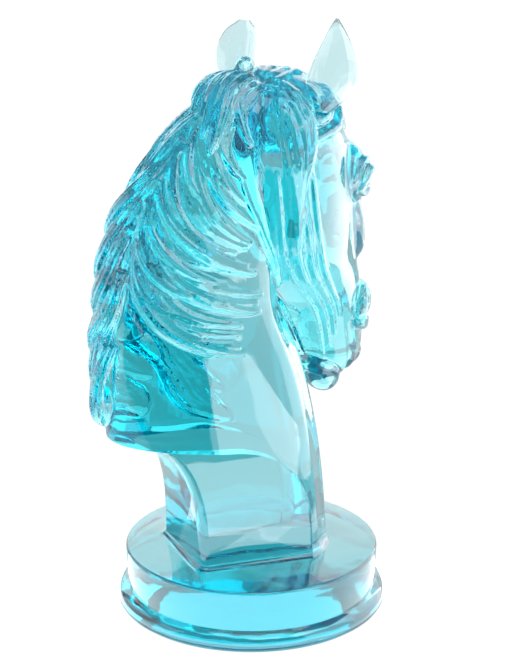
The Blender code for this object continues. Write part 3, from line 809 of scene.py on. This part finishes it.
rng = random.Random(11)
hair = right_mane(skin, STRANDS, rng) + left_mane(skin, STRANDS, rng) + poll_locks(skin, STRANDS, rng)
bodies = lofts("locks", [body for body, _ in hair if body])
strand_lines = tubes("strands", [line for _, lines in hair for line in lines], 3)
print("locks", len(hair))

# %% [markdown]
# # The figure in one skin
# The carving is fused with the core at a finer voxel, and then the mouth, the nostrils and the
# hollows beside the windpipe are pressed in.

# %% Fuse the figure
def press_in(obj, path, reach, depth):
    """Pushes the skin in along a path, deepest on the path itself."""
    path = np.array([tuple(p) for p in path])
    verts = obj.data.vertices
    places = np.empty(len(verts) * 3)
    verts.foreach_get("co", places)
    places = places.reshape(-1, 3)
    normals = np.array([tuple(v.normal) for v in verts])
    away = np.full(len(places), np.inf)
    for a, b in zip(path, path[1:]):
        run = b - a
        t = np.clip(((places - a) @ run) / (run @ run), 0, 1)
        away = np.minimum(away, np.linalg.norm(places - a - t[:, None] * run, axis=1))
    push = depth * np.clip(1 - (away / reach) ** 2, 0, 1) ** 1.5
    places -= normals * push[:, None]
    verts.foreach_set("co", places.ravel())
    obj.data.update()


carving = [bodies, strand_lines, *eyes(skin), *muzzle(skin), jaw_streaks(skin)]
horse = fused("glass_horse_casting", [core, *carving], CARVING_VOXEL, 3)
for side in (1, -1):
    line = [(0.800, -0.050, 0.12 * side), (0.870, -0.044, 0.12 * side), (0.930, -0.040, 0.10 * side),
            (0.985, -0.036, 0.06 * side), (1.020, -0.032, 0.0)]
    press_in(horse, laid(skin, line, 0.0, 16), 3.6 * MM, 2.8 * MM)
    hole = [(0.815, 0.022, 0.14 * side), (0.785, 0.024, 0.14 * side), (0.763, 0.044, 0.14 * side)]
    press_in(horse, laid(skin, hole, 0.012 * HEAD_LENGTH, 8), 4.4 * MM, 3.6 * MM)
    groove = [neck_point(0.04 + 0.62 * k / 15, side * 150) for k in range(16)]
    press_in(horse, groove, 9.0 * MM, 1.2 * MM)
print("figure", 2 * len(horse.data.polygons), "triangles")

# %% [markdown]
# # Fewer faces
# The mesh has as many faces on the plain neck as in the hair. Decimate takes them away where the
# skin is flat and keeps them where it is carved.

# %% Thin the mesh
if 2 * len(horse.data.polygons) > MOST_TRIANGLES:
    thin = horse.modifiers.new("Fewer faces", "DECIMATE")
    thin.ratio = MOST_TRIANGLES / (2 * len(horse.data.polygons))
    apply_modifiers(horse)
print("figure", len(horse.data.polygons), "triangles")

# %% [markdown]
# # Ears
# The ears have thin, crisp edges that a remesh would blur, so each is a clean loft of its own,
# and a Boolean joins it later. The right ear comes to a point. The left one is turned away and
# shorter, with a round tip.

# %% Shape the ears
def ear(side, shape):
    """A pointed leaf, hollowed in front, with rounded edges."""
    base = head_place(0.010, -0.040, side * shape["out"])
    rise = (UP + FORWARD * 0.16 + RIGHT * shape["lean"]).normalized()
    swing = math.radians(shape["turn"])
    across = RIGHT * side * math.cos(swing) + FORWARD * math.sin(swing)
    across = (across - rise * across.dot(rise)).normalized()
    out = (FORWARD - rise * FORWARD.dot(rise) - across * FORWARD.dot(across)).normalized()
    sharp = np.array((0.50, 0.78, 0.96, 1.00, 0.93, 0.79, 0.60, 0.37, 0.05))
    round_tip = np.array((0.46, 0.70, 0.86, 0.96, 1.00, 0.98, 0.90, 0.71, 0.26))
    widths = (sharp + (round_tip - sharp) * shape["blunt"])[:, None]
    rings = []
    for i in range(EAR_RINGS + 1):
        t = i / EAR_RINGS
        share = float(smooth_row(widths, t)[0]) * shape["width"] / 2
        width = max(share * HEAD_LENGTH, 0.4 * CARVED)
        thick = min(EAR_THICKNESS * HEAD_LENGTH * (1 - 0.5 * t), width)
        middle = base + rise * (t * 1.15 - 0.15) * shape["length"] * HEAD_LENGTH
        middle += across * 0.018 * HEAD_LENGTH * math.sin(math.pi * t)
        ring = []
        for k in range(EAR_SIDES):
            around = 2 * math.pi * k / EAR_SIDES
            cup = 0.40 * width * math.cos(around) ** 2
            bulge = squared(math.sin(around), 0.8)
            ring.append(middle + across * width * math.cos(around) + out * (cup + thick / 2 * bulge))
        rings.append(ring)
    return loft("ear", rings)


ears = [ear(1, RIGHT_EAR), ear(-1, LEFT_EAR)]
print("ears", [len(e.data.vertices) for e in ears])

# %% [markdown]
# # The foot
# The real foot looks turned, with a bead round its lower edge. Spin does what a lathe does: it
# carries half an outline once round the upright axis.

# %% Turn the foot
def foot_outline():
    """Radius and height, from the middle of the underside round the bead to the top."""
    bead_centre = FOOT_RADIUS + BEAD_OVERHANG - BEAD_RADIUS
    outline = [(0.0, 0.0)]
    for i in range(8):
        turn = math.radians(-90 + 24.0 * i)
        outline.append((bead_centre + BEAD_RADIUS * math.cos(turn),
                        BEAD_RADIUS + BEAD_RADIUS * math.sin(turn)))
    outline.append((FOOT_RADIUS - FOOT_WAIST, 2 * BEAD_RADIUS + 0.6 * MM))
    for i in range(5):
        turn = math.radians(22.5 * i)
        outline.append((FOOT_RADIUS - FOOT_EDGE_ROUND * (1 - math.cos(turn)),
                        FOOT_HEIGHT - FOOT_EDGE_ROUND * (1 - math.sin(turn))))
    return outline + [(0.0, FOOT_HEIGHT)]


def spun(name, outline, sides):
    mesh = bpy.data.meshes.new(name)
    corners = [(radius, 0, z) for radius, z in outline]
    mesh.from_pydata(corners, [(i, i + 1) for i in range(len(corners) - 1)], [])
    obj = new_object(name, mesh)
    select_only(obj)
    bpy.ops.object.mode_set(mode="EDIT")
    bpy.ops.mesh.select_all(action="SELECT")
    bpy.ops.mesh.spin(steps=sides, angle=2 * math.pi, center=(0, 0, 0), axis=(0, 0, 1))
    bpy.ops.mesh.select_all(action="SELECT")
    bpy.ops.mesh.remove_doubles(threshold=0.01 * MM)
    bpy.ops.mesh.normals_make_consistent(inside=False)
    bpy.ops.object.mode_set(mode="OBJECT")
    return obj


foot = spun("foot", foot_outline(), FOOT_SIDES)
print("foot", [round(v, 4) for v in foot.dimensions])

# %% [markdown]
# # The arch
# The hollow behind the block is flat on top and comes down to the block in a quarter circle. Its
# cutter is a long box. A Bevel as deep as the arch's radius rounds its upper front edge, and its
# upper back edge is lifted, because the underside of the neck rises a little to the back.

# %% Shape the cutter of the arch
def select_top_edge(obj, x):
    """Selects, in edit mode, the upper edge of a box that lies at x."""
    bpy.ops.mesh.select_all(action="DESELECT")
    bm = bmesh.from_edit_mesh(obj.data)
    top = max(vert.co.z for vert in bm.verts)
    for edge in bm.edges:
        if all((vert.co - Vector((x, vert.co.y, top))).length < 0.01 * MM for vert in edge.verts):
            edge.select_set(True)
    bmesh.update_edit_mesh(obj.data)


def arch_cutter():
    top = FOOT_HEIGHT + ARCH_TOP
    bottom = -FOOT_HEIGHT
    reach = FIGURE_HEIGHT / 2
    behind = ARCH_FRONT - ARCH_RADIUS - reach
    middle = ((behind + ARCH_FRONT) / 2, 0, (bottom + top) / 2)
    bpy.ops.object.select_all(action="DESELECT")
    bpy.ops.mesh.primitive_cube_add(size=1, location=middle)
    cutter = bpy.context.object
    cutter.name = "arch_cutter"
    cutter.scale = (ARCH_FRONT - behind, 2 * reach, top - bottom)
    bpy.ops.object.transform_apply(location=True, rotation=True, scale=True)
    bpy.ops.object.mode_set(mode="EDIT")
    bpy.ops.mesh.select_mode(type="EDGE")
    select_top_edge(cutter, ARCH_FRONT)
    bpy.ops.mesh.bevel(offset=ARCH_RADIUS, segments=16, profile=0.5, affect="EDGES")
    select_top_edge(cutter, behind)
    lift = math.tan(math.radians(ARCH_RISE)) * reach
    bpy.ops.transform.translate(value=(0, 0, lift))
    bpy.ops.object.mode_set(mode="OBJECT")
    return cutter


cutter = arch_cutter()
print("arch cutter", len(cutter.data.polygons), "faces")

# %% [markdown]
# # The block
# The block under the neck is a loft again, because it narrows upwards in front, has rounded
# corners behind, flares into the foot below and sweeps back into the neck above.

# %% Shape the block
def block_outline(z, grow_back, grow_rear, grow_front):
    """The block in plan: narrower behind with rounded corners, and narrowing upwards in front."""
    up = (z - FOOT_HEIGHT) / ARCH_TOP
    back = BLOCK_BACK - grow_back
    half_back = BLOCK_BACK_WIDTH / 2 + grow_rear
    half_front = BLOCK_FRONT_WIDTH / 2 + grow_front - BLOCK_TAPER * up
    side = [(ARCH_FRONT + ARCH_OVERLAP, half_front - 2 * ARCH_OVERLAP), (ARCH_FRONT, half_front)]
    for i in range(6):
        turn = math.radians(18 * i)
        side.append((back + BLOCK_CORNER * (1 - math.sin(turn)),
                     half_back - BLOCK_CORNER * (1 - math.cos(turn))))
    return side + [(x, -y) for x, y in reversed(side)]


def support_block():
    """It flares out into the foot below, and back into the underside of the neck above."""
    top = FOOT_HEIGHT + ARCH_TOP
    rings = [(FOOT_HEIGHT - FOOT_OVERLAP, FOOT_FILLET, FOOT_FILLET, FOOT_FILLET)]
    for i in range(7):
        turn = math.radians(15 * i)
        out = FOOT_FILLET * (1 - math.sin(turn))
        rings.append((FOOT_HEIGHT + FOOT_FILLET * (1 - math.cos(turn)), out, out, out))
    for i in range(9):
        turn = math.radians(90 - 11.25 * i)
        out = BLOCK_TOP_FLARE * (1 - math.sin(turn))
        rings.append((top - BLOCK_FLARE_HEIGHT * (1 - math.cos(turn)), out, -0.3 * out, 0.0))
    rings.append((top + ARCH_OVERLAP, BLOCK_TOP_FLARE, -0.3 * BLOCK_TOP_FLARE, 0.0))
    skin = []
    for z, back, rear, front in rings:
        slope = 0.0
        if z > FOOT_HEIGHT + FOOT_FILLET:
            slope = math.tan(math.radians(ARCH_RISE)) * back / BLOCK_TOP_FLARE
        outline = block_outline(z, back, rear, front)
        bend = ARCH_FRONT - ARCH_RADIUS
        skin.append([(x, y, z + slope * max(bend - x, 0.0)) for x, y in outline])
    return loft("support_block", skin)


block = support_block()
print("block", [round(v, 4) for v in block.dimensions])

# %% [markdown]
# # One casting
# Boolean modifiers join what is left: the ears are added, the arch is cut away, and the block and
# the foot are added. The exact solver keeps their edges crisp. Smooth shading up to an angle then
# leaves only real edges sharp.

# %% Join it all
def join(obj, other, operation):
    modifier = obj.modifiers.new(other.name, "BOOLEAN")
    modifier.operation = operation
    modifier.object = other
    modifier.solver = "EXACT"


for helper in ears:
    join(horse, helper, "UNION")
join(horse, cutter, "DIFFERENCE")
join(horse, block, "UNION")
join(horse, foot, "UNION")
apply_modifiers(horse)
for helper in (*ears, cutter, block, foot):
    bpy.data.objects.remove(helper)
bpy.ops.object.shade_smooth_by_angle(angle=math.radians(SHARP_EDGE))
print("casting", sum(len(p.vertices) - 2 for p in horse.data.polygons), "triangles")

# %% [markdown]
# # Blue glass
# Light loses its red as it goes through this glass, so a thin ear is nearly clear and the deep
# neck is teal. Volume Absorption does this: what its colour lacks is taken away, and its density
# sets how fast. The surface has a light tint of its own. It is fire-polished, so its roughness is
# nothing, and a clear coat makes it mirror a little more. No cast surface is quite flat, though.
# A slow swell, as of glass that cooled in its mould, bends what is seen through it. Bump makes
# that from noise fixed to the object.

# %% Melt the glass
SURFACE_TINT = (0.74, 0.93, 0.955, 1)
DEPTH_COLOUR = (0.05, 0.89, 0.93, 1)
DEPTH_DENSITY = 42.0
GLASS_IOR = 1.5
COAT_IOR = 1.6
SWELL_SCALE = 34.0
SWELL_HEIGHT = 0.0012


def blue_glass():
    material = bpy.data.materials.new("blue_glass_melt")
    material.use_nodes = True
    nodes = material.node_tree.nodes
    links = material.node_tree.links
    shader = nodes["Principled BSDF"]
    shader.inputs["Base Color"].default_value = SURFACE_TINT
    shader.inputs["Roughness"].default_value = 0.0
    shader.inputs["IOR"].default_value = GLASS_IOR
    shader.inputs["Transmission Weight"].default_value = 1.0
    shader.inputs["Coat Weight"].default_value = 1.0
    shader.inputs["Coat Roughness"].default_value = 0.0
    shader.inputs["Coat IOR"].default_value = COAT_IOR
    depth = nodes.new("ShaderNodeVolumeAbsorption")
    depth.inputs["Color"].default_value = DEPTH_COLOUR
    depth.inputs["Density"].default_value = DEPTH_DENSITY
    links.new(depth.outputs["Volume"], nodes["Material Output"].inputs["Volume"])
    place = nodes.new("ShaderNodeTexCoord")
    swell = nodes.new("ShaderNodeTexNoise")
    swell.inputs["Scale"].default_value = SWELL_SCALE
    swell.inputs["Detail"].default_value = 1.5
    swell.inputs["Roughness"].default_value = 0.45
    bump = nodes.new("ShaderNodeBump")
    bump.inputs["Strength"].default_value = 1.0
    bump.inputs["Distance"].default_value = SWELL_HEIGHT
    links.new(place.outputs["Object"], swell.inputs["Vector"])
    links.new(swell.outputs["Fac"], bump.inputs["Height"])
    links.new(bump.outputs["Normal"], shader.inputs["Normal"])
    return material


horse.data.materials.clear()
horse.data.materials.append(blue_glass())
print("glass", horse.data.materials[0].name)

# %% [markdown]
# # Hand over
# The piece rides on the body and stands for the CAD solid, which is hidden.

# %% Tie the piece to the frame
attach(horse, "root")
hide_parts("glass_horse_head")
